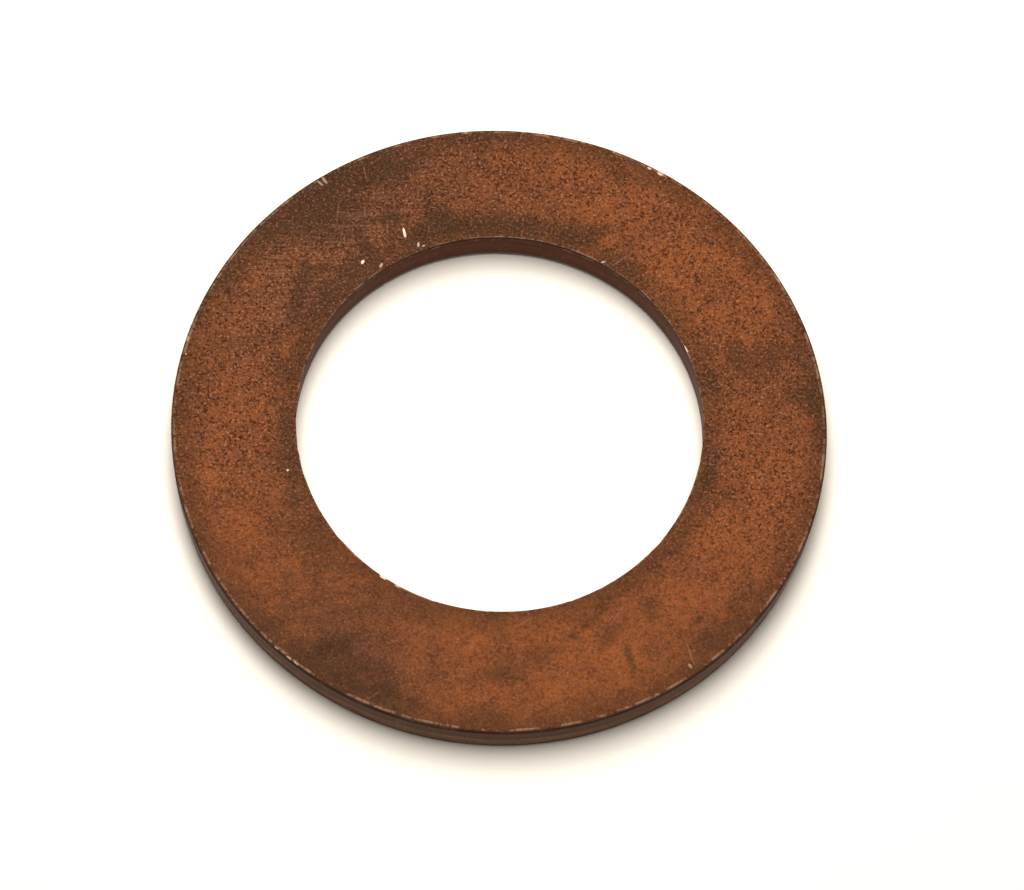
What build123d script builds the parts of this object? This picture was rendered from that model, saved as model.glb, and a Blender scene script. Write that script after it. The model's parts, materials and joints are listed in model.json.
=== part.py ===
from build123d import *
import os

# A flat copper washer, stamped from sheet.
#
# The washer is one piece of metal. It lies flat on its underside, with +Z along the bore, and
# the origin is the middle of the bore in the plane of the underside. Lengths are in millimetres.
#
# The hole was pierced and then the rim was cut out, from the same side, so the two walls are
# upside down to each other. Each wall starts with a rounded edge where the sheet was drawn in,
# under the hole and on top of the rim. A smooth straight band that the tools rubbed comes next,
# then a rougher band where the metal broke, and a sharp corner that is worn dull. The rim's
# broken band leans in towards the underside. The hole's broken band was pressed in to a low lip.

# Driving dimensions
BORE_DIAMETER = 13.0  # across the lip of the hole, its tightest place: clearance on a 12 mm bolt
OUTER_DIAMETER = 21.0  # across the straight band of the rim, its widest place
THICKNESS = 1.5  # of the sheet
BORE_ROLL_OVER = 0.3  # radius of the rounded edge under the hole
RIM_ROLL_OVER = 0.12  # radius of the rounded edge on top of the rim
STRAIGHT_BAND_HEIGHT = 0.6  # of the rubbed band next to each rounded edge
BORE_LIP_REACH = 0.07  # how far the lip of the hole stands in past its straight band
RIM_BREAK_LEAN = 0.1  # how far the rim's broken band has leaned in by the bottom corner
CORNER_WEAR = 0.03  # width and height of the two dulled corners


def bore_wall():
    """Draws the hole's wall, from the underside up, and returns its two ends."""
    lip_radius = BORE_DIAMETER / 2
    band_radius = lip_radius + BORE_LIP_REACH
    foot = (band_radius + BORE_ROLL_OVER, 0)
    band_bottom = (band_radius, BORE_ROLL_OVER)
    band_top = (band_radius, BORE_ROLL_OVER + STRAIGHT_BAND_HEIGHT)
    lip = (lip_radius, THICKNESS - CORNER_WEAR)
    top = (lip_radius + CORNER_WEAR, THICKNESS)
    TangentArc(foot, band_bottom, tangent=(-1, 0))
    Polyline(band_bottom, band_top, lip, top)
    return foot, top


def rim_wall():
    """Draws the rim's wall, from the top down, and returns its two ends."""
    band_radius = OUTER_DIAMETER / 2
    corner_radius = band_radius - RIM_BREAK_LEAN
    top = (band_radius - RIM_ROLL_OVER, THICKNESS)
    band_top = (band_radius, THICKNESS - RIM_ROLL_OVER)
    band_bottom = (band_radius, THICKNESS - RIM_ROLL_OVER - STRAIGHT_BAND_HEIGHT)
    corner = (corner_radius, CORNER_WEAR)
    foot = (corner_radius - CORNER_WEAR, 0)
    TangentArc(top, band_top, tangent=(1, 0))
    Polyline(band_top, band_bottom, corner, foot)
    return foot, top


def washer():
    """The washer: the strip between its two walls, turned once around the bore's axis."""
    with BuildPart() as blank:
        with BuildSketch(Plane.XZ):
            with BuildLine():
                bore_foot, bore_top = bore_wall()
                rim_foot, rim_top = rim_wall()
                Line(bore_foot, rim_foot)
                Line(bore_top, rim_top)
            make_face()
        revolve(axis=Axis.Z)
    return blank.part


os.makedirs("parts", exist_ok=True)
export_step(washer(), "parts/flat_washer.step")
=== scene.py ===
"""Looks for a flat copper washer: a blanked ring, tarnished brown, on a plain pale table.

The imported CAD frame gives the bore, the outside and the thickness. The ring is modelled again in
fine detail over its CAD node, because stamping leaves edges and marks that a plain turned solid
doesn't have.
"""

import json
import logging
import math
import random
from collections.abc import Callable
from dataclasses import dataclass, field
from enum import Enum

import bmesh
import bpy
from mathutils import Matrix, Vector


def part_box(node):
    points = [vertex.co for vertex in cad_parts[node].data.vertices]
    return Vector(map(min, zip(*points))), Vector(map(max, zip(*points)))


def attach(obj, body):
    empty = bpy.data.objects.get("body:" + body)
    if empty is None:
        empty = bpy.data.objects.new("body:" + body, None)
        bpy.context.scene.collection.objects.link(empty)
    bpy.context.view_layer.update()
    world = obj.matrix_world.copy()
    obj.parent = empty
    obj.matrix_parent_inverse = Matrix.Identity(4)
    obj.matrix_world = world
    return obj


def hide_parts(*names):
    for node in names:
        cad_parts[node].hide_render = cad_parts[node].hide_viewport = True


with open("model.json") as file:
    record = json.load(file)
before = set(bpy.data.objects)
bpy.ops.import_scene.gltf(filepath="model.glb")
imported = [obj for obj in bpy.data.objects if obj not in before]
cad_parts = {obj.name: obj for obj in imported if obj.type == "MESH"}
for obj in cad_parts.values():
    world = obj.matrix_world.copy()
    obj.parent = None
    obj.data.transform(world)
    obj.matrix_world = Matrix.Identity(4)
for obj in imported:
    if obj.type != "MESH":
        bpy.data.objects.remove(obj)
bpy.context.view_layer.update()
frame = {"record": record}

log = logging.getLogger("washer")

NODE = "flat_washer"
BODY = "root"
BORE_MOUNT = "bore"
PER_METRE = 1000.0  # millimetres in a metre: the ring is modelled and its patterns are sized in mm
WHITE_LEVEL = 1.37  # how bright a pure white face lies in this room, where 1 is white on screen

Colour = tuple[float, float, float, float]
Place = tuple[float, float, float]


def tone(red: int, green: int, blue: int) -> Colour:
    """Gives the surface colour that shows as these screen levels when it lies in this room.

    Args:
        red: Level from 0 to 255.
        green: Level from 0 to 255.
        blue: Level from 0 to 255.

    Returns:
        The linear colour, opaque.
    """
    linear = [((level / 255 + 0.055) / 1.055) ** 2.4 for level in (red, green, blue)]
    return (*(value / WHITE_LEVEL for value in linear), 1.0)


# ---------------------------------------------------------------------------------------------
# Shader expressions
# ---------------------------------------------------------------------------------------------


class Term:
    """One shader socket, on which Python arithmetic adds Math nodes."""

    def __init__(self, recipe: "Recipe", socket: bpy.types.NodeSocket) -> None:
        """Wraps a socket of one of the recipe's nodes."""
        self.recipe = recipe
        self.socket = socket

    def _math(self, operation: str, first: "Term | float", second: "Term | float") -> "Term":
        """Adds one Math node on two values."""
        return self.recipe.node("ShaderNodeMath", {"operation": operation}, {0: first, 1: second})

    def __add__(self, other: "Term | float") -> "Term":
        """Gives the sum."""
        return self._math("ADD", self, other)

    __radd__ = __add__

    def __sub__(self, other: "Term | float") -> "Term":
        """Gives the difference."""
        return self._math("SUBTRACT", self, other)

    def __rsub__(self, other: "Term | float") -> "Term":
        """Gives the difference the other way round."""
        return self._math("SUBTRACT", other, self)

    def __mul__(self, other: "Term | float") -> "Term":
        """Gives the product."""
        return self._math("MULTIPLY", self, other)

    def higher(self, other: "Term | float") -> "Term":
        """Gives whichever of the two values is larger."""
        return self._math("MAXIMUM", self, other)

    def lower(self, other: "Term | float") -> "Term":
        """Gives whichever of the two values is smaller."""
        return self._math("MINIMUM", self, other)

    def root(self) -> "Term":
        """Gives the square root."""
        return self._math("POWER", self, 0.5)

    def rise(self, low: "Term | float", high: "Term | float") -> "Term":
        """Rises smoothly from 0 where the value is low to 1 where it is high.

        Args:
            low: Value that gives 0.
            high: Value that gives 1. Below low, the curve falls instead.

        Returns:
            A value from 0 to 1.
        """
        return self.recipe.node(
            "ShaderNodeMapRange",
            {"interpolation_type": "SMOOTHSTEP"},
            {"Value": self, "From Min": low, "From Max": high},
        )

    def near(self, level: float, reach: float) -> "Term":
        """Falls smoothly from 1 at a level to 0 at a reach above or below it."""
        off_level = self - level
        return off_level.higher(off_level * -1).rise(reach, 0.0)


class Recipe:
    """The shader nodes of one finish."""

    def __init__(self, name: str) -> None:
        """Starts an empty material of that name."""
        self.material = bpy.data.materials.new(name)
        self.material.use_nodes = True
        self.nodes = self.material.node_tree.nodes
        self.links = self.material.node_tree.links
        self.nodes.clear()

    def node(self, kind: str, settings: dict, sockets: dict, out: str | int = 0) -> Term:
        """Adds one node.

        Args:
            kind: Blender's name for the node's type.
            settings: The node's own properties, which are set first.
            sockets: Values or links, by the input's position, identifier or name.
            out: The output to hand back, by its position, identifier or name.

        Returns:
            The chosen output.
        """
        made = self.nodes.new(kind)
        for name, value in settings.items():
            setattr(made, name, value)
        for key, value in sockets.items():
            socket = self._socket(made.inputs, key)
            if isinstance(value, Term):
                self.links.new(value.socket, socket)
            else:
                socket.default_value = value
        return Term(self, self._socket(made.outputs, out))

    @staticmethod
    def _socket(sockets: bpy.types.NodeInputs, key: str | int) -> bpy.types.NodeSocket:
        """Finds a socket by its position, identifier or name."""
        if isinstance(key, int):
            return sockets[key]
        return next((s for s in sockets if s.identifier == key), None) or sockets[key]

    def vector(self, operation: str, vector: Term, other: Term | Place, out: str | int = 0) -> Term:
        """Adds a Vector Math node on two vectors."""
        return self.node("ShaderNodeVectorMath", {"operation": operation}, {0: vector, 1: other}, out)

    def dot(self, vector: Term, axis: Place) -> Term:
        """Gives a vector's share along an axis."""
        return self.vector("DOT_PRODUCT", vector, axis, "Value")

    def length(self, vector: Term) -> Term:
        """Gives a vector's length."""
        return self.node("ShaderNodeVectorMath", {"operation": "LENGTH"}, {0: vector}, "Value")

    def place(self) -> Term:
        """Gives the point on the object that is being shaded, in millimetres."""
        point = self.node("ShaderNodeTexCoord", {}, {}, "Object")
        return self.vector("MULTIPLY", point, (PER_METRE,) * 3)

    def plan(self, place: Term) -> Term:
        """Drops a place onto the plane of the underside."""
        return self.vector("MULTIPLY", place, (1, 1, 0))

    def part(self, place: Term, axis: str) -> Term:
        """Gives a place's X, Y or Z."""
        return self.node("ShaderNodeSeparateXYZ", {}, {0: place}, axis)

    def framed(self, place: Term, middle: Place, size: Place, turn: float) -> Term:
        """Gives a place as seen from a moved, turned and stretched frame.

        Args:
            place: The place, in millimetres.
            middle: Where the frame's origin lies.
            size: How long the frame's unit is along each of its axes.
            turn: The frame's turn about +Z, in degrees.

        Returns:
            The place in the frame's units.
        """
        rotation = (0, 0, math.radians(turn))
        sockets = {"Vector": place, "Location": middle, "Rotation": rotation, "Scale": size}
        return self.node("ShaderNodeMapping", {"vector_type": "TEXTURE"}, sockets)

    def noise(self, place: Term, cloud: "Cloud") -> Term:
        """Gives a cloud's noise, which is about 0.5 on average."""
        moved = self.framed(place, (cloud.seed, -cloud.seed, cloud.seed), cloud.size, cloud.turn)
        shape = {"Detail": cloud.detail, "Roughness": cloud.harshness, "Distortion": cloud.swirl}
        return self.node("ShaderNodeTexNoise", {}, {"Vector": moved, "Scale": 1.0, **shape})

    def mix(self, share: Term, base: Term | Colour, over: Term | Colour) -> Term:
        """Lays one colour over another by a share from 0 to 1."""
        sockets = {"Factor_Float": share, "A_Color": base, "B_Color": over}
        return self.node("ShaderNodeMix", {"data_type": "RGBA"}, sockets, "Result_Color")

    def bump(self, height: Term, depth: float) -> Term:
        """Gives the normal of a surface whose height from 0 to 1 stands for a depth in mm."""
        return self.node("ShaderNodeBump", {}, {"Height": height, "Distance": depth / PER_METRE})

    def finish(self, surface: dict) -> bpy.types.Material:
        """Ends the recipe with its shader.

        Args:
            surface: Values or links for the shader's sockets.

        Returns:
            The finished material.
        """
        shader = self.node("ShaderNodeBsdfPrincipled", {}, surface)
        output = self.nodes.new("ShaderNodeOutputMaterial")
        self.links.new(shader.socket, output.inputs["Surface"])
        return self.material


@dataclass(frozen=True)
class Cloud:
    """A noise with a value of about 0.5 on average."""

    size: Place  # of its lumps along each axis, in mm
    seed: float
    detail: float = 2.0  # how many times the lumps carry smaller ones
    harshness: float = 0.5  # how strongly the smaller lumps show
    swirl: float = 0.0
    turn: float = 0.0  # about +Z, in degrees


@dataclass(frozen=True)
class Layer:
    """How one layer of colour covers what lies under it, as told by a noise."""

    low: float  # noise at which it starts
    full: float  # noise at which it is full; below the other, it covers the noise's hollows
    share: float  # how much it hides where it is full

    def where(self, noise: Term) -> Term:
        """Gives where the layer lies, from 0 to 1."""
        return noise.rise(self.low, self.full)

    def cover(self, noise: Term) -> Term:
        """Gives how much the layer hides, from 0 to its share."""
        return self.where(noise) * self.share


# ---------------------------------------------------------------------------------------------
# Marks on the metal
# ---------------------------------------------------------------------------------------------


class Edge(Enum):
    """How softly a mark ends: where it fades out and where it is full, in its own half sizes."""

    MISTY = (1.7, 0.0)
    SOFT = (1.45, 0.35)
    CRISP = (1.2, 0.6)


@dataclass(frozen=True)
class Mark:
    """A zone, stain, nick or scratch on the sheet, as an oval."""

    angle: float  # round the ring from +X, in degrees
    radius: float  # from the bore's axis, in mm
    along: float  # half its length, in mm
    across: float  # half its width, in mm
    lean: float = 0.0  # its turn from the direction round the ring, in degrees
    strength: float = 1.0
    depth: float = 0.0  # how far the metal is dented, in mm

    @property
    def middle(self) -> Place:
        """Its middle in plan."""
        turn = math.radians(self.angle)
        return (self.radius * math.cos(turn), self.radius * math.sin(turn), 0.0)

    @property
    def heading(self) -> float:
        """The direction of its length, in radians from +X."""
        return math.radians(self.angle + 90 + self.lean)

    def mask(self, recipe: Recipe, plan: Term, jitter: Term, edge: Edge) -> Term:
        """Gives the mark's share at each place.

        Args:
            recipe: The finish that it is part of.
            plan: The place in plan, in mm.
            jitter: A value around 0 that breaks up its edge.
            edge: How softly it ends.

        Returns:
            A value from 0 outside it to its strength inside.
        """
        middle = Vector(self.middle)
        forward = Vector((math.cos(self.heading), math.sin(self.heading), 0))
        sideways = Vector((-forward.y, forward.x, 0))
        shares = []
        for axis, half in ((forward, self.along), (sideways, self.across)):
            share = recipe.dot(plan, tuple(axis / half)) - middle.dot(axis) / half
            shares.append(share * share)
        return ((shares[0] + shares[1]).root() + jitter).rise(*edge.value) * self.strength


# Wide stretches of the top face that have gone browner
ZONES = (
    Mark(126, 8.7, 5.8, 2.4),
    Mark(152, 8.0, 3.6, 2.0, strength=0.8),
    Mark(96, 8.5, 3.0, 2.0, strength=0.4),
    Mark(14, 8.7, 1.9, 2.2, strength=0.45),
    Mark(243, 8.8, 3.6, 1.9, strength=0.85),
    Mark(180, 9.5, 2.6, 1.1, strength=0.45),
    Mark(208, 7.4, 3.2, 1.2, strength=0.5),
    Mark(80, 8.9, 1.8, 1.5, strength=0.25),
    Mark(318, 9.6, 2.6, 0.9, strength=0.35),
    Mark(278, 8.3, 1.8, 0.9, strength=0.3),
    Mark(345, 7.0, 1.8, 0.7, strength=0.4),
)

# Olive brown tarnish, where fingers and damp reached the top face
STAINS = (
    Mark(134, 10.0, 3.9, 0.85),
    Mark(133, 9.3, 1.5, 1.05, strength=0.9),
    Mark(120, 9.9, 2.0, 0.8),
    Mark(151, 10.2, 2.4, 0.5, strength=0.8),
    Mark(99, 10.3, 2.6, 0.4, strength=0.8),
    Mark(78, 10.3, 2.6, 0.32, strength=0.6),
    Mark(92, 6.85, 3.8, 0.55),
    Mark(111, 7.1, 1.5, 0.75),
    Mark(77, 6.95, 1.4, 0.5),
    Mark(60, 6.75, 1.9, 0.45, strength=0.85),
    Mark(121, 7.95, 0.45, 0.35, strength=0.8),
    Mark(130.5, 7.45, 0.32, 0.5, strength=0.9),
    Mark(137, 7.3, 0.6, 0.35, strength=0.8),
    Mark(142, 7.85, 0.5, 0.28, -20, strength=0.8),
    Mark(150, 7.85, 1.3, 0.36, 25, strength=0.85),
    Mark(147, 7.2, 0.6, 0.35, strength=0.85),
    Mark(140, 6.85, 3.0, 0.6, strength=0.8),
    Mark(168, 6.8, 2.2, 0.4, strength=0.75),
    Mark(193, 6.75, 2.6, 0.4, strength=0.8),
    Mark(225, 7.2, 1.8, 0.7, strength=0.4),
    Mark(8, 10.25, 2.8, 0.5, strength=0.9),
    Mark(11, 9.9, 0.6, 0.5, strength=0.7),
    Mark(20, 9.1, 0.6, 1.5, strength=0.5),
    Mark(22, 8.0, 0.6, 0.5, strength=0.7),
    Mark(19, 6.85, 1.5, 0.4, strength=0.7),
    Mark(70, 9.75, 0.32, 0.42, strength=0.7),
    Mark(66, 10.0, 0.9, 0.4, strength=0.5),
    Mark(240.5, 9.45, 1.3, 0.36, 60),
    Mark(238, 10.2, 1.4, 0.45, strength=0.85),
    Mark(251, 10.05, 1.9, 0.6, strength=0.9),
    Mark(244, 9.85, 1.7, 0.45, 25, strength=0.8),
    Mark(350, 6.85, 0.6, 0.32),
    Mark(318, 6.75, 3.6, 0.36, strength=0.7),
    Mark(301.5, 8.9, 0.6, 0.14, 80, strength=0.7),
    Mark(300, 8.05, 0.5, 0.36, strength=0.5),
    Mark(311, 7.9, 0.3, 0.6, strength=0.45),
    Mark(317.5, 9.15, 0.24, 0.1, strength=0.8),
    Mark(320, 10.05, 2.2, 0.5, strength=0.65),
    Mark(275, 8.6, 0.65, 0.34, strength=0.4),
    Mark(283, 8.0, 0.5, 0.42, strength=0.4),
    Mark(268, 10.2, 1.2, 0.35, strength=0.5),
)

# Bare copper, where something sharp cut through the tarnish
NICKS = (
    Mark(120.0, 7.33, 0.2, 0.045, 77, depth=0.02),
    Mark(133.6, 7.13, 0.085, 0.055, 20, depth=0.02),
    Mark(118.0, 6.76, 0.09, 0.04, 60, strength=0.6, depth=0.012),
    Mark(116.8, 6.66, 0.06, 0.035, strength=0.5, depth=0.012),
    Mark(130.2, 6.68, 0.1, 0.045, 30, strength=0.55, depth=0.012),
    Mark(64.1, 10.4, 0.12, 0.07, depth=0.015),
    Mark(66.4, 10.38, 0.08, 0.04, strength=0.9, depth=0.01),
    Mark(128.9, 10.3, 0.05, 0.17, strength=0.4, depth=0.01),
    Mark(129.9, 10.28, 0.04, 0.15, 12, strength=0.4),
    Mark(169.5, 10.44, 0.09, 0.05, strength=0.9, depth=0.012),
    Mark(166.5, 10.46, 0.09, 0.025, strength=0.6),
    Mark(163.5, 10.46, 0.08, 0.025, strength=0.6),
    Mark(172.5, 10.33, 0.04, 0.03, strength=0.6),
    Mark(199.8, 6.98, 0.035, 0.03, strength=0.8),
    Mark(28.4, 6.53, 0.18, 0.04, 8, strength=0.8, depth=0.015),
    Mark(64.0, 6.6, 0.09, 0.035, 50, strength=0.6, depth=0.015),
    Mark(233.0, 10.44, 0.08, 0.03, strength=0.8, depth=0.01),
    Mark(235.8, 10.43, 0.1, 0.035, strength=0.8, depth=0.01),
    Mark(237.4, 10.42, 0.09, 0.03, strength=0.7, depth=0.01),
    Mark(240.5, 6.55, 0.12, 0.03, strength=0.9, depth=0.012),
    Mark(245.3, 6.55, 0.1, 0.02, strength=0.7),
    Mark(73.5, 10.42, 0.06, 0.03, strength=0.6),
    Mark(79.5, 10.42, 0.08, 0.025, strength=0.55),
    Mark(90.5, 10.42, 0.06, 0.02, strength=0.5),
    Mark(101.0, 10.42, 0.05, 0.03, strength=0.6),
    Mark(34.0, 10.42, 0.08, 0.025, strength=0.6),
    Mark(40.0, 10.43, 0.06, 0.02, strength=0.5),
    Mark(310.4, 10.15, 0.05, 0.1, strength=0.3),
)

# Light hair lines, where grit was dragged across the face
SCRATCHES = (
    Mark(60.2, 6.98, 0.45, 0.02, 68, strength=0.3),
    Mark(311.8, 9.85, 0.4, 0.024, 70, strength=0.3),
    Mark(121.5, 9.9, 0.4, 0.02, 75, strength=0.22),
    Mark(131.0, 9.0, 0.75, 0.018, 47, strength=0.15),
    Mark(139.5, 9.2, 0.6, 0.018, 40, strength=0.12),
    Mark(134.0, 8.2, 0.9, 0.016, 44, strength=0.12),
    Mark(304.5, 7.5, 0.45, 0.024, 25, strength=0.14),
    Mark(324.0, 9.1, 0.4, 0.02, 55, strength=0.12),
    Mark(281.0, 6.9, 0.3, 0.04, 25, strength=0.15),
    Mark(252.0, 10.1, 0.3, 0.02, 55, strength=0.18),
)


# The same two on the underside, where it lay against other washers
UNDERSIDE_ZONES = (
    Mark(35, 8.4, 4.5, 2.0, strength=0.7),
    Mark(200, 8.8, 5.5, 1.8, strength=0.6),
    Mark(300, 7.9, 3.5, 1.6, strength=0.5),
)
UNDERSIDE_STAINS = (
    Mark(50, 9.6, 3.2, 0.8),
    Mark(62, 8.0, 1.3, 0.6, 20, strength=0.8),
    Mark(110, 7.1, 2.4, 0.5, strength=0.8),
    Mark(170, 9.9, 2.8, 0.6, strength=0.9),
    Mark(205, 8.3, 0.8, 0.5, 30, strength=0.7),
    Mark(262, 7.3, 2.8, 0.6, strength=0.8),
    Mark(325, 9.7, 2.2, 0.7, strength=0.8),
)


@dataclass(frozen=True)
class Brushing:
    """Fine parallel streaks over one stretch of a face."""

    zone: Mark
    lines: Cloud
    darkens: bool  # where they are browner than the face; otherwise they are lighter


# Streaks wiped across the top face
BRUSHINGS = (
    Brushing(
        Mark(137, 8.6, 3.6, 1.9, strength=0.7),
        Cloud((1.3, 0.06, 1.0), seed=21, turn=6),
        darkens=False,
    ),
    Brushing(
        Mark(229, 8.6, 2.8, 2.0),
        Cloud((2.6, 0.24, 1.0), seed=22, turn=17),
        darkens=True,
    ),
)


# ---------------------------------------------------------------------------------------------
# Finishes
# ---------------------------------------------------------------------------------------------


@dataclass(frozen=True)
class Copper:
    """The colours of the copper and of what has grown on it, and of the shade and light painted on it.
    """

    russet: Colour = tone(143, 77, 35)  # the lighter patches of the sheet
    chestnut: Colour = tone(118, 64, 32)  # the darker patches of the sheet
    umber: Colour = tone(86, 51, 30)  # where it has gone browner
    olive: Colour = tone(70, 49, 30)  # the tarnish of the stains
    pit: Colour = tone(64, 27, 6)
    # light flecks of the grain, partly painted sheen on its bumps
    fleck_and_sheen: Colour = tone(182, 122, 88)
    edge_shadow: Colour = tone(38, 15, 4)  # painted shadow: the dark line under a wall's top edge
    worn: Colour = tone(172, 136, 110)  # edges and scratches that are rubbed bright, and the painted glints on the walls
    bare: Colour = tone(238, 196, 172)  # fresh metal in the nicks
    maroon: Colour = tone(98, 51, 26)  # the wall of the bore
    dusky: Colour = tone(92, 57, 36)  # the rubbed band of the rim
    greyed_with_reflection: Colour = tone(134, 101, 76)  # the broken band of the rim, lighter and greyer: partly its rough matte metal, partly a painted reflection of the pale table


@dataclass
class Ground:
    """A face's places and the noises that several of its layers share."""

    recipe: Recipe
    seed: float
    place: Term = field(init=False)
    plan: Term = field(init=False)
    radius: Term = field(init=False)
    clouds: Term = field(init=False)  # the widest noise; each one below it is finer
    smears: Term = field(init=False)
    mottle: Term = field(init=False)
    tooth: Term = field(init=False)
    flecks: Term = field(init=False)

    def __post_init__(self) -> None:
        """Lays out the places and the noises."""
        self.place = self.recipe.place()
        self.plan = self.recipe.plan(self.place)
        self.radius = self.recipe.length(self.plan)
        self.clouds = self.cloud((2.4,) * 3, 1, detail=2, harshness=0.6)
        self.smears = self.cloud((0.8,) * 3, 2, detail=3, harshness=0.7)
        self.mottle = self.cloud((0.3,) * 3, 3, detail=2, harshness=0.7)
        self.tooth = self.cloud((0.11,) * 3, 4, detail=2, harshness=0.7, swirl=0.5)
        self.flecks = self.cloud((0.08,) * 3, 5, detail=1, harshness=0.6, swirl=0.3)

    def cloud(self, size: Place, step: int, **shape: float) -> Term:
        """Gives a noise of this ground's own."""
        return self.recipe.noise(self.place, Cloud(size, self.seed + step, **shape))


@dataclass(frozen=True)
class SheetFinish:
    """The rolled face of the sheet: russet, mottled, pitted, and stained along its edges."""

    name: str
    inner_edge: float  # radius of the face's inner edge, in mm
    outer_edge: float  # radius of the face's outer edge, in mm
    seed: float
    zones: tuple[Mark, ...] = ZONES
    stains: tuple[Mark, ...] = STAINS
    nicks: tuple[Mark, ...] = NICKS
    scratches: tuple[Mark, ...] = SCRATCHES
    brushings: tuple[Brushing, ...] = BRUSHINGS
    copper: Copper = Copper()
    blotched: Layer = Layer(0.38, 0.6, 1.0)  # russet over chestnut
    browning: float = 0.85  # how much the browner zones hide of the colour under them
    streaked: Layer = Layer(0.48, 0.66, 0.5)  # the wiped streaks
    tarnished_edge: Layer = Layer(0.75, -0.5, 0.7)  # olive along both edges, by the distance in mm
    patchy: Layer = Layer(0.2, 0.6, 0.4)  # the thicker parts of the tarnish
    thin_tarnish: float = 0.5  # how much its thinner parts hide
    pitted: Layer = Layer(0.54, 0.37, 0.9)  # dark pits
    flecked_and_sheen: Layer = Layer(0.5, 0.76, 0.72)  # light flecks of the grain, partly painted sheen
    bright_edge: Layer = Layer(0.46, 0.58, 0.65)  # the rubbed line at both edges
    rim_stain: float = 1.0  # usual width of the tarnish along both edges, in mm
    worn_line: float = 0.035  # width of the rubbed line at both edges, in mm
    pit_depth: float = 0.02  # in mm
    rubbed_from: float = -1.0  # the +Y place where the face starts to be rubbed smoother, in mm
    rubbed_by: float = -7.0  # the +Y place where it is smoothest, in mm
    rubbed_away: float = 0.6  # how much of the grain is gone there
    metallic: float = 0.3  # a share that is less than pure metal, because of the tarnish
    roughness: float = 0.6
    shine: float = 0.08

    def material(self) -> bpy.types.Material:
        """Builds the finish.

        Returns:
            The material for the face.
        """
        ground = Ground(Recipe(self.name), self.seed)
        edge = self.edge_distance(ground)
        stained = self.stained(ground, edge)
        scratched = self.masks(ground, self.scratches, (ground.tooth - 0.5) * 1.2, Edge.CRISP)
        nicked = self.masks(ground, self.nicks, (ground.flecks - 0.5) * 0.9, Edge.CRISP)
        pits = self.pitted.where(ground.tooth * 0.85 + ground.mottle * 0.15)
        # light flecks, partly painted sheen
        flecks = self.flecked_and_sheen.where(ground.flecks)
        grip = self.grip(ground)
        shown = grip * (1 - stained * 0.5)

        base = self.weathered(ground)
        base = ground.recipe.mix(stained, base, self.copper.olive)
        base = ground.recipe.mix(pits * shown * self.pitted.share, base, self.copper.pit)
        base = ground.recipe.mix(flecks * shown * self.flecked_and_sheen.share, base, self.copper.fleck_and_sheen)
        on_line = edge.rise(self.worn_line, 0.0) * edge.rise(-2 * self.worn_line, -self.worn_line)
        gaps = ground.smears * 0.45 + ground.mottle * 0.35 + ground.tooth * 0.2
        worn = on_line * self.bright_edge.where(gaps) * self.bright_edge.share
        base = ground.recipe.mix(worn.higher(scratched), base, self.copper.worn)
        base = ground.recipe.mix(nicked, base, self.copper.bare)

        relief = ground.tooth * 0.7 + ground.mottle * 0.5 + flecks * 0.3
        return ground.recipe.finish({
            "Base Color": base,
            "Metallic": nicked * 0.3 + self.metallic,
            "Roughness": self.roughness + stained * 0.12 - nicked * 0.2 - scratched * 0.1 + pits * 0.08,
            "Specular IOR Level": self.shine,
            "Normal": ground.recipe.bump(relief * grip, self.pit_depth),
        })

    def edge_distance(self, ground: Ground) -> Term:
        """Gives how far a place is from the nearer edge of the face, in mm."""
        return (ground.radius - self.inner_edge).lower(self.outer_edge - ground.radius)

    def masks(self, ground: Ground, marks: tuple[Mark, ...], jitter: Term, edge: Edge) -> Term:
        """Gives the share of several marks together: at each place, that of the strongest.

        Args:
            ground: The face's places and noises.
            marks: One mark or more.
            jitter: A value around 0 that breaks up their edges.
            edge: How softly they end.

        Returns:
            A value from 0 to 1.
        """
        together = marks[0].mask(ground.recipe, ground.plan, jitter, edge)
        for mark in marks[1:]:
            together = together.higher(mark.mask(ground.recipe, ground.plan, jitter, edge))
        return together

    def grip(self, ground: Ground) -> Term:
        """Gives how strongly the grain shows: less where hands rubbed the face."""
        across = ground.recipe.part(ground.place, "Y")
        return 1 - across.rise(self.rubbed_from, self.rubbed_by) * self.rubbed_away

    def stained(self, ground: Ground, edge: Term) -> Term:
        """Gives the share of olive tarnish: along both edges, and in the stains."""
        ragged = (ground.smears - 0.5) * 1.4 + (ground.mottle - 0.5) * 0.9
        reach = ground.clouds * (2 * self.rim_stain)
        rim = self.tarnished_edge.cover(edge + ragged * 0.5 - reach * 0.35)
        blots = self.masks(ground, self.stains, ragged + (ground.tooth - 0.5) * 0.5, Edge.SOFT)
        return rim.higher(blots) * (self.patchy.cover(ground.mottle) + self.thin_tarnish)

    def weathered(self, ground: Ground) -> Term:
        """Gives the colour under the stains and the grain."""
        ragged = (ground.smears - 0.5) * 1.2
        browned = self.masks(ground, self.zones, ragged, Edge.MISTY)
        blotch = ground.clouds * 0.4 + ground.smears * 0.35 + ground.mottle * 0.25
        base = ground.recipe.mix(self.blotched.where(blotch), self.copper.chestnut, self.copper.russet)
        base = ground.recipe.mix(browned * self.browning, base, self.copper.umber)
        for brushing in self.brushings:
            zone = brushing.zone.mask(ground.recipe, ground.plan, ragged, Edge.MISTY)
            lines = self.streaked.where(ground.recipe.noise(ground.place, brushing.lines))
            shade = self.copper.umber if brushing.darkens else self.copper.fleck_and_sheen
            base = ground.recipe.mix(lines * zone * self.streaked.share, base, shade)
        return base


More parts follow.
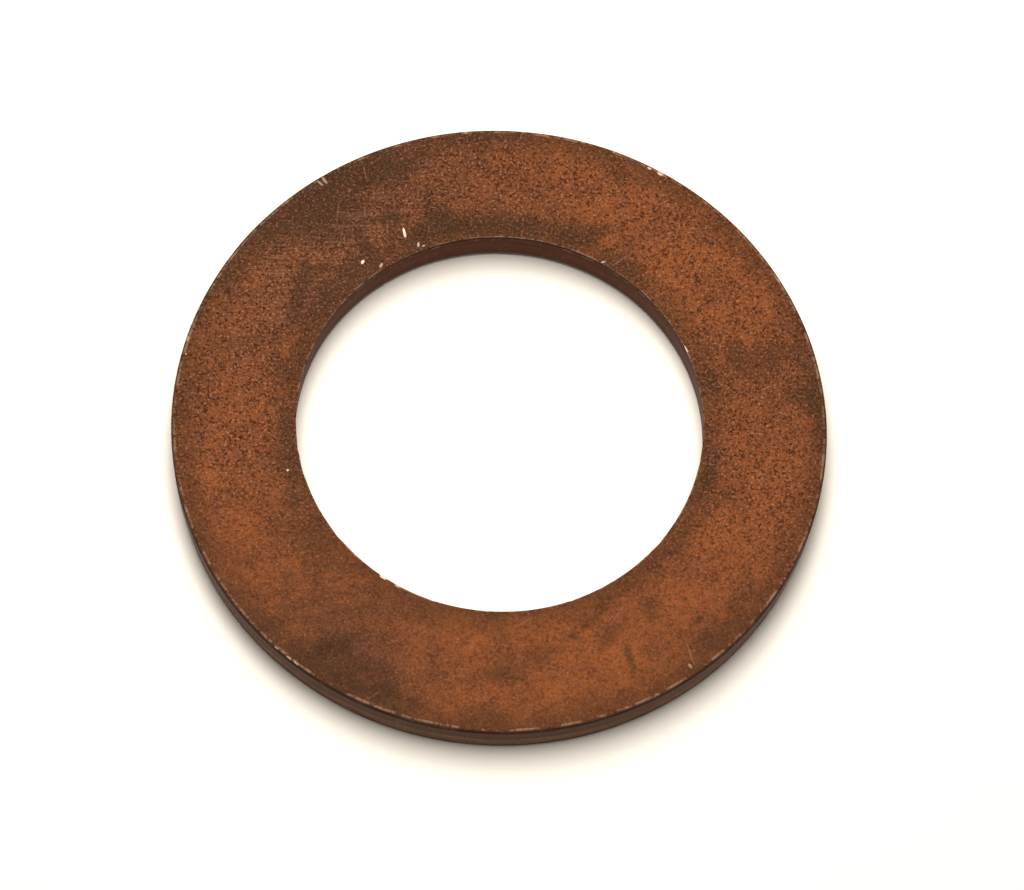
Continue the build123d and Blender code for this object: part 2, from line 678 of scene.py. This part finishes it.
@dataclass(frozen=True)
class WallFinish:
    """A sheared wall: a rubbed band, a rougher broken band, and fine lines round both, with a painted
    shadow under its top edge and painted glints.
    """

    name: str
    seed: float
    rubbed: Colour  # of the straight band
    broken: Colour  # of the rougher band
    rubbed_at: float  # height where the wall is still rubbed, next to the broken band, in mm
    broken_at: float  # height where it is broken all round, in mm
    shade_at: float  # height of the painted shadow line under the top edge, in mm
    glint_at: float  # height of the painted glints, in mm
    worn_at: float  # height where the top edge starts to be worn bright, in mm
    copper: Copper = Copper()
    shade_reach: float = 0.13  # how far the painted shadow line spreads each way, in mm
    glint_reach: float = 0.05  # how far a painted glint spreads each way, in mm
    worn_reach: float = 0.04  # how far above its start the worn edge is full, in mm
    break_sway: float = 0.35  # how far the end of the rubbed band wanders up and down, in mm
    shade_sway: float = 0.06  # how far the painted shadow line wanders, in mm
    glint_sway: float = 0.1  # how far the painted glints wander, in mm
    worn_sway: float = 0.03  # how far the start of the worn edge wanders, in mm
    lumps: Place = (1.1, 1.1, 0.5)  # size of the wide unevenness, in mm
    rings: Place = (2.6, 2.6, 0.05)  # size of the fine lines round the wall, in mm
    drags: Place = (0.09, 0.09, 0.9)  # size of the fine lines up the wall, in mm
    grain: Place = (0.13,) * 3  # size of the pits, in mm
    patches: Place = (0.45,) * 3  # size of the patches that break up the long lines, in mm
    browned: Layer = Layer(0.42, 0.62, 0.3)  # umber patches
    scored: Layer = Layer(0.5, 0.68, 0.2)  # dark lines round the wall
    dragged: Layer = Layer(0.58, 0.75, 0.2)  # light lines up the wall
    pitted: Layer = Layer(0.52, 0.36, 0.35)  # dark pits
    shaded: Layer = Layer(0.3, 0.42, 0.95)  # the painted shadow line under the top edge, with its gaps
    glinted: Layer = Layer(0.54, 0.6, 0.8)  # the painted glints, with their gaps
    bright_edge: Layer = Layer(0.44, 0.56, 0.8)  # the worn edge, with its gaps
    score_depth: float = 0.007  # in mm
    metallic: float = 0.3
    roughness: float = 0.5
    shine: float = 0.06

    def material(self) -> bpy.types.Material:
        """Builds the finish.

        Returns:
            The material for a wall.
        """
        recipe = Recipe(self.name)
        place = recipe.place()
        height = recipe.part(place, "Z")
        lumps = recipe.noise(place, Cloud(self.lumps, self.seed + 1, detail=3, harshness=0.6))
        rings = recipe.noise(place, Cloud(self.rings, self.seed + 2, harshness=0.6))
        drags = recipe.noise(place, Cloud(self.drags, self.seed + 3, harshness=0.6))
        grain = recipe.noise(place, Cloud(self.grain, self.seed + 4, harshness=0.7))
        patches = recipe.noise(place, Cloud(self.patches, self.seed + 5, harshness=0.6))

        wave = lumps - 0.5
        over = (height + wave * self.break_sway).rise(self.rubbed_at, self.broken_at)
        # painted shadow: a dark line just under the top edge
        edge_shadow = (height + wave * self.shade_sway).near(self.shade_at, self.shade_reach)
        glint = (height + wave * self.glint_sway).near(self.glint_at, self.glint_reach)
        edge = (height + wave * self.worn_sway).rise(self.worn_at, self.worn_at + self.worn_reach)

        base = recipe.mix(over, self.rubbed, self.broken)
        base = recipe.mix(self.browned.cover(lumps), base, self.copper.umber)
        base = recipe.mix(self.scored.cover(rings), base, self.copper.pit)
        base = recipe.mix(self.dragged.cover(drags), base, self.copper.worn)
        base = recipe.mix(self.pitted.cover(grain), base, self.copper.pit)
        base = recipe.mix(edge_shadow * self.shaded.cover(patches), base, self.copper.edge_shadow)
        # the worn top edge, and the painted glints
        worn_edge_and_glint = (edge * self.bright_edge.cover(lumps)).higher(glint * self.glinted.cover(patches))
        base = recipe.mix(worn_edge_and_glint, base, self.copper.worn)

        relief = rings * 0.5 + drags * 0.3 * (1 - over) + grain * 0.8 * over
        return recipe.finish({
            "Base Color": base,
            "Metallic": self.metallic,
            "Roughness": self.roughness + over * 0.15 + grain * 0.1,
            "Specular IOR Level": self.shine,
            "Normal": recipe.bump(relief, self.score_depth),
        })


@dataclass(frozen=True)
class TableFinish:
    """The plain pale table top."""

    name: str = "table_top"
    pale: Colour = (0.95, 0.87, 0.75, 1.0)
    paler: Colour = (0.96, 0.885, 0.77, 1.0)

    def material(self) -> bpy.types.Material:
        """Builds the finish.

        Returns:
            The material for the table.
        """
        recipe = Recipe(self.name)
        fibres = recipe.noise(recipe.place(), Cloud((0.8,) * 3, seed=3, detail=3))
        base = recipe.mix(fibres, self.pale, self.paler)
        return recipe.finish({"Base Color": base, "Roughness": 0.9, "Specular IOR Level": 0.1})


# ---------------------------------------------------------------------------------------------
# The ring
# ---------------------------------------------------------------------------------------------


class Side(Enum):
    """A side of the ring, by the place of its finish in the list."""

    TOP = 0
    UNDERSIDE = 1
    BORE = 2
    RIM = 3


@dataclass(frozen=True)
class Lumps:
    """A cloudy unevenness, in mm."""

    size: float
    depth: float  # the most that the surface sinks


@dataclass
class Washer:
    """The ring, in mm: a strip of metal spun once around the bore's axis."""

    bore_radius: float
    rim_radius: float
    thickness: float
    bore_roll_over: float = 0.3  # radius of the rounded edge under the hole
    rim_roll_over: float = 0.12  # radius of the rounded edge on top of the rim
    band_height: float = 0.6  # of the rubbed band next to each rounded edge
    lip_reach: float = 0.07  # how far the lip of the hole stands in past its rubbed band
    rim_lean: float = 0.06  # how far the rim's broken band has leaned in by the bottom corner
    corner_wear: float = 0.03  # width and height of the two dulled corners
    edge_shadow_drop: float = 0.06  # how far under the lip's corner its painted shadow line runs
    glint_drop: float = 0.19  # how far under the lip's corner its painted glints run
    band_blend: float = 0.1  # how far each way the rubbed and broken bands run into each other

    sheet_lumps: Lumps = Lumps(2.6, 0.016)  # all over the ring
    face_lumps: Lumps = Lumps(0.5, 0.012)  # on the top face
    broken_lumps: Lumps = Lumps(0.2, 0.016)  # on the broken bands
    chatter: int = 40  # small dents knocked into the two top corners
    chatter_depth: tuple[float, float] = (0.006, 0.016)
    chatter_reach: tuple[float, float] = (0.1, 0.3)
    nick_margin: float = 0.08  # how far past its ends a nick still dents the face
    seed: int = 12

    sectors: int = 16  # equal wedges that make up the ring
    steps: int = 64  # facets round one wedge
    bore_roll_facets: int = 6
    rim_roll_facets: int = 4
    corner_facets: int = 3
    top_cuts: int = 37  # across the top face
    underside_cuts: int = 11  # across the underside
    band_cuts: int = 6  # up each band of the walls
    soft_bend: float = 50.0  # bends up to this are shaded smooth, in degrees
    face_tilt: float = 40.0  # the most that a facet of the two faces leans, in degrees
    draws: random.Random = field(init=False)

    def __post_init__(self) -> None:
        """Seeds the washer's own random draws."""
        self.draws = random.Random(self.seed)

    @classmethod
    def from_frame(cls) -> "Washer":
        """Reads the washer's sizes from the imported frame."""
        low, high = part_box(NODE)
        mounts = {mount["name"]: mount for mount in frame["record"]["mounts"]}
        return cls(
            bore_radius=mounts[BORE_MOUNT]["dims"]["r_mm"],
            rim_radius=high.x * PER_METRE,
            thickness=(high.z - low.z) * PER_METRE,
        )

    @property
    def tiny(self) -> float:
        """A length that is smaller than any in the section."""
        return self.corner_wear / 10

    @property
    def inner_edge(self) -> float:
        """Radius of the top face's inner edge."""
        return self.bore_radius + self.corner_wear

    @property
    def outer_edge(self) -> float:
        """Radius of the top face's outer edge."""
        return self.rim_radius - self.rim_roll_over

    @property
    def band_radius(self) -> float:
        """Radius of the hole's rubbed band."""
        return self.bore_radius + self.lip_reach

    @property
    def corner_radius(self) -> float:
        """Radius of the rim's bottom corner."""
        return self.rim_radius - self.rim_lean

    @property
    def middle(self) -> float:
        """Radius halfway between the two walls."""
        return (self.bore_radius + self.rim_radius) / 2

    @property
    def bore_break(self) -> float:
        """Height at which the hole's rubbed band ends and its broken one starts."""
        return self.bore_roll_over + self.band_height

    @property
    def rim_break(self) -> float:
        """Height at which the rim's rubbed band ends and its broken one starts."""
        return self.thickness - self.rim_roll_over - self.band_height

    def build(self) -> bpy.types.Object:
        """Models the ring and dresses it.

        Returns:
            The finished piece, in metres, in the frame's place.
        """
        ring = self.section()
        self.spin(ring)
        self.roughen(ring)
        self.dent(ring)
        self.settle(ring)
        self.dress(ring)
        return ring

    def section(self) -> bpy.types.Object:
        """Shapes the outline of the strip of metal, on the bore's +X side.

        Returns:
            The outline, as a closed loop of edges.
        """
        width = self.rim_radius - self.bore_radius
        middle = (self.bore_radius + width / 2, 0, self.thickness / 2)
        upright = (math.pi / 2, 0, 0)
        bpy.ops.object.select_all(action="DESELECT")
        bpy.ops.mesh.primitive_plane_add(size=1, location=middle, rotation=upright)
        outline = bpy.context.object
        outline.name = "washer_ring"
        outline.scale = (width, self.thickness, 1)
        bpy.ops.object.transform_apply(location=True, rotation=True, scale=True)
        bpy.ops.object.mode_set(mode="EDIT")
        bpy.ops.mesh.select_mode(type="VERT")
        bpy.ops.mesh.select_all(action="SELECT")
        bpy.ops.mesh.delete(type="ONLY_FACE")

        floor, ceiling, halfway = self.tiny, self.thickness - self.tiny, self.thickness / 2
        pick_edges(outline, lambda a, b: abs(a.x - b.x) < self.tiny)
        bpy.ops.mesh.subdivide(number_cuts=1)
        for wanted, across, up in (
            (lambda v: v.x < self.middle and floor < v.z < ceiling, 0, self.bore_break - halfway),
            (lambda v: v.x < self.middle and v.z < ceiling, self.lip_reach, 0),
            (lambda v: v.x > self.middle and floor < v.z < ceiling, 0, self.rim_break - halfway),
            (lambda v: v.x > self.middle and v.z < floor, -self.rim_lean, 0),
        ):
            pick_verts(outline, wanted)
            bpy.ops.transform.translate(value=(across, 0, up))
        for inner, top, size, facets in (
            (True, False, self.bore_roll_over, self.bore_roll_facets),
            (False, True, self.rim_roll_over, self.rim_roll_facets),
            (True, True, self.corner_wear, self.corner_facets),
            (False, False, self.corner_wear, self.corner_facets),
        ):
            pick_verts(
                outline,
                lambda v: (v.x < self.middle) is inner and (v.z > ceiling if top else v.z < floor),
            )
            bpy.ops.mesh.bevel(offset=size, segments=facets, affect="VERTICES")

        for wanted, cuts in (
            (lambda a, b: min(a.z, b.z) > ceiling, self.top_cuts),
            (lambda a, b: max(a.z, b.z) < floor, self.underside_cuts),
            (lambda a, b: abs(a.z - b.z) > self.band_height / 2, self.band_cuts),
        ):
            pick_edges(outline, wanted)
            bpy.ops.mesh.subdivide(number_cuts=cuts)
        return outline

    def spin(self, ring: bpy.types.Object) -> None:
        """Spins the outline into one wedge, and repeats the wedge round the bore."""
        wedge = math.tau / self.sectors
        bpy.ops.mesh.select_all(action="SELECT")
        bpy.ops.mesh.spin(steps=self.steps, angle=wedge, center=(0, 0, 0), axis=(0, 0, 1))
        bpy.ops.object.mode_set(mode="OBJECT")
        turn = bpy.data.objects.new("wedge_turn", None)
        bpy.context.scene.collection.objects.link(turn)
        turn.rotation_euler.z = wedge
        copies = ring.modifiers.new("wedges", "ARRAY")
        copies.count = self.sectors
        copies.use_relative_offset = False
        copies.use_object_offset = True
        copies.offset_object = turn
        bpy.context.view_layer.update()
        bpy.ops.object.modifier_apply(modifier=copies.name)
        bpy.data.objects.remove(turn)
        bpy.ops.object.mode_set(mode="EDIT")
        bpy.ops.mesh.select_all(action="SELECT")
        bpy.ops.mesh.remove_doubles(threshold=self.tiny / 2)
        bpy.ops.mesh.normals_make_consistent(inside=False)

    def roughen(self, ring: bpy.types.Object) -> None:
        """Lets the sheet wave a little and its broken bands crumble, always into the metal."""
        bpy.ops.object.mode_set(mode="OBJECT")
        flat = self.thickness - self.corner_wear / 2
        groups = {
            "sheet": lambda radius, height: True,
            "face": lambda radius, height: height > flat and self.inner_edge < radius < self.outer_edge,
            "broken": lambda radius, height: (
                self.bore_break < height < flat
                if radius < self.middle
                else self.corner_wear / 2 < height < self.rim_break
            ),
        }
        for name, belongs in groups.items():
            group = ring.vertex_groups.new(name=name)
            places = ((vert.index, vert.co) for vert in ring.data.vertices)
            chosen = [index for index, place in places if belongs(math.hypot(place.x, place.y), place.z)]
            group.add(chosen, 1.0, "REPLACE")
        self.displace(ring, "sheet", self.sheet_lumps)
        self.displace(ring, "face", self.face_lumps)
        self.displace(ring, "broken", self.broken_lumps)

    def displace(self, ring: bpy.types.Object, group: str, lumps: Lumps) -> None:
        """Presses a cloudy unevenness into part of the ring.

        Args:
            ring: The ring.
            group: The vertices to move.
            lumps: The size and depth of the unevenness.
        """
        clouds = bpy.data.textures.new(group + "_lumps", "CLOUDS")
        clouds.noise_scale = lumps.size
        clouds.noise_depth = 2
        dent = ring.modifiers.new(group, "DISPLACE")
        dent.texture = clouds
        dent.vertex_group = group
        dent.strength = lumps.depth
        dent.mid_level = 1.0
        bpy.ops.object.modifier_apply(modifier=dent.name)

    def dent(self, ring: bpy.types.Object) -> None:
        """Knocks the nicks into the top face and the chatter into the two top corners."""
        bpy.ops.object.mode_set(mode="EDIT")
        bpy.ops.mesh.select_mode(type="VERT")
        for nick in NICKS:
            if nick.depth:
                self.knock(ring, nick.angle, nick.radius, nick.depth, nick.along + self.nick_margin)
        for _ in range(self.chatter):
            radius = self.draws.choice((self.inner_edge, self.outer_edge))
            angle = self.draws.uniform(0, 360)
            depth = self.draws.uniform(*self.chatter_depth)
            reach = self.draws.uniform(*self.chatter_reach)
            self.knock(ring, angle, radius, depth, reach)
        bpy.ops.object.mode_set(mode="OBJECT")

    def knock(
        self, ring: bpy.types.Object, angle: float, radius: float, depth: float, reach: float
    ) -> None:
        """Pushes the metal in around one point of the top face.

        Args:
            ring: The ring, in edit mode.
            angle: Round the ring from +X, in degrees.
            radius: From the bore's axis.
            depth: How far the point moves.
            reach: How far from it the metal still moves.
        """
        turn = math.radians(angle)
        outward = Vector((math.cos(turn), math.sin(turn), 0))
        at_edge = min(radius - self.inner_edge, self.outer_edge - radius) < self.corner_wear
        side = math.copysign(1.0, radius - self.middle) if at_edge else 0.0
        pick_nearest(ring, outward * radius + Vector((0, 0, self.thickness)))
        push = (-outward * side - Vector((0, 0, 1))) * depth
        bpy.ops.transform.translate(
            value=push,
            use_proportional_edit=True,
            proportional_edit_falloff="SMOOTH",
            proportional_size=reach,
        )

    def settle(self, ring: bpy.types.Object) -> None:
        """Shrinks the ring from millimetres to metres, and smooths its shading up to its corners."""
        ring.scale = (1 / PER_METRE,) * 3
        bpy.ops.object.transform_apply(location=False, rotation=False, scale=True)
        bpy.ops.object.shade_smooth_by_angle(angle=math.radians(self.soft_bend))

    def dress(self, ring: bpy.types.Object) -> None:
        """Gives the two faces and the two walls their finishes."""
        finishes = self.finishes()
        for side in Side:
            ring.data.materials.append(finishes[side].material())
        flat = math.cos(math.radians(self.face_tilt))
        for face in ring.data.polygons:
            if abs(face.normal.z) > flat:
                side = Side.TOP if face.normal.z > 0 else Side.UNDERSIDE
            else:
                outside = math.hypot(face.center.x, face.center.y) * PER_METRE > self.middle
                side = Side.RIM if outside else Side.BORE
            face.material_index = side.value

    def finishes(self) -> dict[Side, SheetFinish | WallFinish]:
        """Gives the finish of each side, with its lines at the heights of this ring's own bands."""
        copper = Copper()
        lip_corner = self.thickness - self.corner_wear
        return {
            Side.TOP: SheetFinish("copper_top", self.inner_edge, self.outer_edge, seed=10),
            Side.UNDERSIDE: SheetFinish(
                "copper_underside",
                self.band_radius + self.bore_roll_over,
                self.corner_radius - self.corner_wear,
                seed=40,
                zones=UNDERSIDE_ZONES,
                stains=UNDERSIDE_STAINS,
                nicks=NICKS[:3],
                scratches=SCRATCHES[-3:],
            ),
            Side.BORE: WallFinish(
                "copper_bore",
                seed=70,
                rubbed=copper.maroon,
                broken=copper.maroon,
                rubbed_at=self.bore_break - self.band_blend,
                broken_at=self.bore_break + self.band_blend,
                shade_at=lip_corner - self.edge_shadow_drop,
                glint_at=lip_corner - self.glint_drop,
                worn_at=lip_corner,
            ),
            Side.RIM: WallFinish(
                "copper_rim",
                seed=80,
                rubbed=copper.dusky,
                # the rim's broken band carries a painted reflection of the pale table
                broken=copper.greyed_with_reflection,
                rubbed_at=self.rim_break + self.band_blend,
                broken_at=self.rim_break - self.band_blend,
                shade_at=self.thickness - self.rim_roll_over,
                glint_at=self.rim_break / 3,
                worn_at=self.thickness - self.rim_roll_over / 2,
            ),
        }


def pick_verts(thing: bpy.types.Object, wanted: Callable[[Vector], bool]) -> None:
    """Selects only the vertices that pass a test, in edit mode.

    Args:
        thing: The object in edit mode.
        wanted: Says whether a vertex at this place is selected.
    """
    bpy.ops.mesh.select_mode(type="VERT")
    bpy.ops.mesh.select_all(action="DESELECT")
    mesh = bmesh.from_edit_mesh(thing.data)
    for vert in mesh.verts:
        vert.select_set(wanted(vert.co))
    mesh.select_flush_mode()
    bmesh.update_edit_mesh(thing.data)


def pick_edges(thing: bpy.types.Object, wanted: Callable[[Vector, Vector], bool]) -> None:
    """Selects only the edges that pass a test, in edit mode.

    Args:
        thing: The object in edit mode.
        wanted: Says whether an edge between these two places is selected.
    """
    bpy.ops.mesh.select_mode(type="EDGE")
    bpy.ops.mesh.select_all(action="DESELECT")
    mesh = bmesh.from_edit_mesh(thing.data)
    for edge in mesh.edges:
        edge.select_set(wanted(edge.verts[0].co, edge.verts[1].co))
    bmesh.update_edit_mesh(thing.data)


def pick_nearest(thing: bpy.types.Object, point: Vector) -> None:
    """Selects only the vertex nearest to a point, in edit mode."""
    bpy.ops.mesh.select_all(action="DESELECT")
    mesh = bmesh.from_edit_mesh(thing.data)
    min(mesh.verts, key=lambda vert: (vert.co - point).length_squared).select_set(True)
    bmesh.update_edit_mesh(thing.data)


# ---------------------------------------------------------------------------------------------
# The studio
# ---------------------------------------------------------------------------------------------


@dataclass
class Studio:
    """The table, the light and the camera. Lengths are in metres unless they say otherwise."""

    reach: float  # the washer's outer radius, by which the camera's distance is counted
    elevation: float = 67.01  # of the camera above the table, in degrees
    roll: float = 5.06  # of the camera, in degrees
    distance: float = 10.785  # of the camera, in outer radii
    aim_right: float = 0.0411  # how far right of the bore's axis the camera aims, in outer radii
    aim_down: float = 0.0205  # how far below the bore's axis the camera aims, in outer radii
    lens: float = 123.0  # in mm
    sensor: float = 36.0  # width, in mm
    near_clip: float = 0.1  # nearest depth that the camera sees, in outer radii
    table_size: float = 1.2
    table_squares: int = 8  # along each side
    lamp_distance: float = 0.1  # from the middle of the underside
    lamp_lean: float = 13.7  # of the lamp from overhead towards the back, in degrees
    lamp_turn: float = 15.0  # of the lamp from the back towards the left, in degrees
    lamp_width: float = 0.052
    lamp_depth: float = 0.092
    lamp_power: float = 0.152  # in watts
    sky: float = 0.2  # strength of the room's even light

    def build(self) -> None:
        """Sets out the table, the light and the camera."""
        self.table()
        self.lamp()
        self.room()
        self.camera()

    def table(self) -> None:
        """Lays a plain pale table top under the washer."""
        bpy.ops.object.select_all(action="DESELECT")
        bpy.ops.mesh.primitive_grid_add(
            x_subdivisions=self.table_squares, y_subdivisions=self.table_squares, size=self.table_size
        )
        top = bpy.context.object
        top.name = "table_top"
        top.data.materials.append(TableFinish().material())

    def lamp(self) -> None:
        """Hangs one wide soft lamp overhead, a little towards the back."""
        lean = Matrix.Rotation(math.radians(-self.lamp_lean), 4, "X")
        turn = Matrix.Rotation(math.radians(self.lamp_turn), 4, "Z")
        data = bpy.data.lights.new("overhead_lamp", "AREA")
        data.shape = "RECTANGLE"
        data.size = self.lamp_width
        data.size_y = self.lamp_depth
        data.energy = self.lamp_power
        lamp = bpy.data.objects.new("overhead_lamp", data)
        lamp.matrix_world = turn @ lean @ Matrix.Translation((0, 0, self.lamp_distance))
        bpy.context.scene.collection.objects.link(lamp)

    def room(self) -> None:
        """Fills the room with an even white light."""
        world = bpy.data.worlds.new("room")
        world.use_nodes = True
        background = world.node_tree.nodes["Background"]
        background.inputs["Color"].default_value = (1, 1, 1, 1)
        background.inputs["Strength"].default_value = self.sky
        bpy.context.scene.world = world
        bpy.context.scene.view_settings.view_transform = "Standard"

    def camera(self) -> None:
        """Stands the camera in front of the washer, looking down on it."""
        rise = math.radians(self.elevation)
        tilt = math.radians(self.roll)
        back = Vector((0, -math.cos(rise), math.sin(rise)))
        level = Vector((1, 0, 0))
        upright = back.cross(level)
        right = math.cos(tilt) * level + math.sin(tilt) * upright
        up = math.cos(tilt) * upright - math.sin(tilt) * level
        eye = (back * self.distance + right * self.aim_right - up * self.aim_down) * self.reach
        data = bpy.data.cameras.new("camera")
        data.sensor_width = self.sensor
        data.lens = self.lens
        data.clip_start = self.reach * self.near_clip
        camera = bpy.data.objects.new("camera", data)
        facing = Matrix((right, up, back)).transposed().to_4x4()
        camera.matrix_world = Matrix.Translation(eye) @ facing
        bpy.context.scene.collection.objects.link(camera)
        bpy.context.scene.camera = camera


def main() -> None:
    """Builds the washer, then the studio around it."""
    logging.basicConfig(level=logging.INFO, format="%(message)s")
    washer = Washer.from_frame()
    ring = washer.build()
    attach(ring, BODY)
    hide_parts(NODE)
    log.info("%s: %d faces", ring.name, len(ring.data.polygons))
    Studio(reach=washer.rim_radius / PER_METRE).build()
    log.info("studio: table, lamp, room and camera")


if __name__ == "__main__":
    main()
